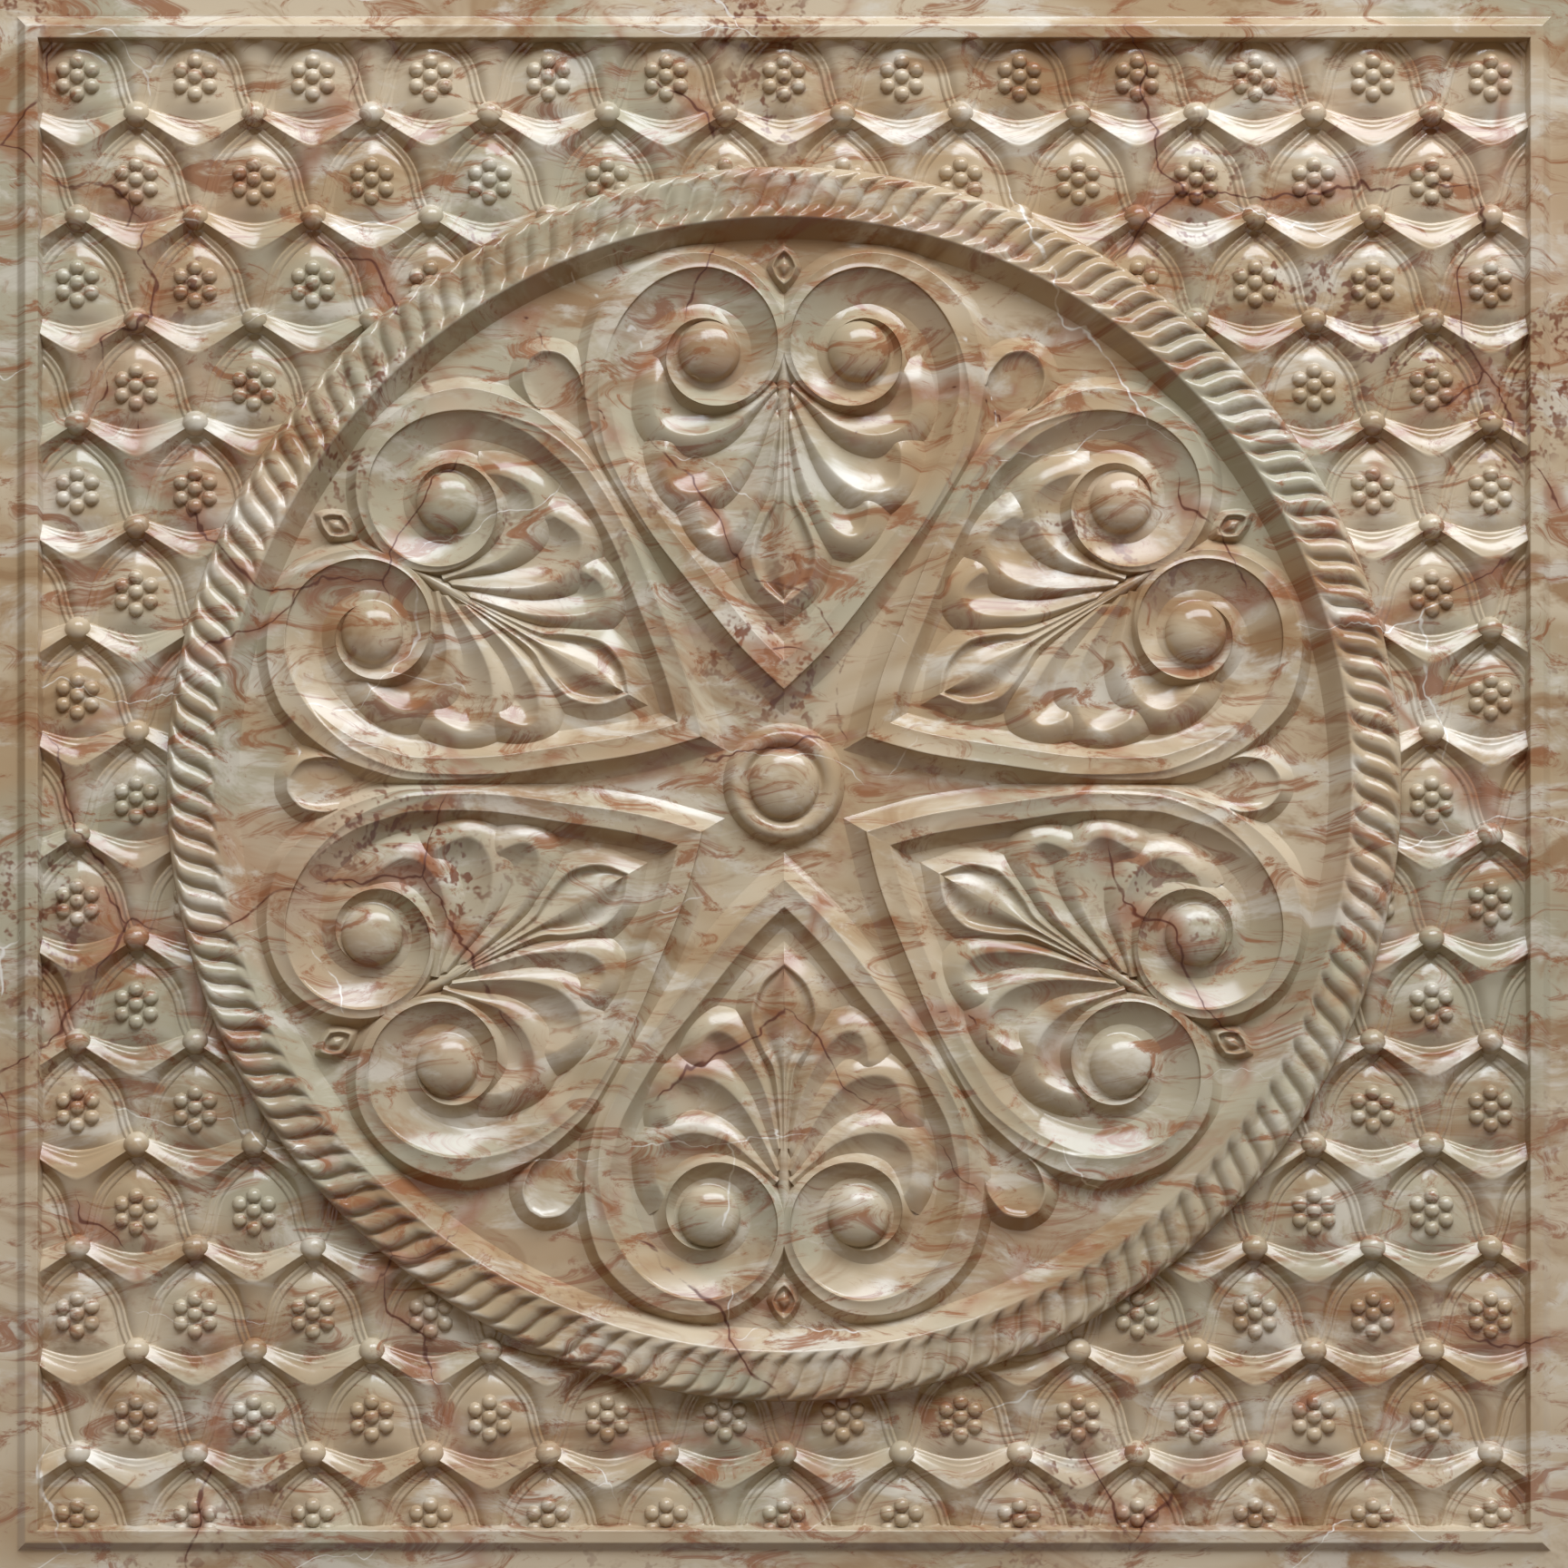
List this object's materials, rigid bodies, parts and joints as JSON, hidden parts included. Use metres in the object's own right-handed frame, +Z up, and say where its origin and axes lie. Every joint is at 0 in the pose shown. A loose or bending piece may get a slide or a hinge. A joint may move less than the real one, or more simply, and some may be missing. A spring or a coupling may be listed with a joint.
{
  "type": "carved stone wall panel",
  "caption": "Square carved marble panel: a rope ring round a medallion of palmette hearts, on a field of scales with beads and rosettes, in a moulded border.",
  "frame": {"origin": "centre of the flat back face", "axes": "+Y out of the back towards the wall, -Y out of the carved face, +Z up the face, +X to the right seen from the front"},
  "size_m": [0.6, 0.0295, 0.6],
  "materials": {
    "marble": "polished beige marble with olive-grey clouds, red-brown stains and white veins"
  },
  "bodies": {
    "root": {"panel": "marble"}
  },
  "joints": []
}
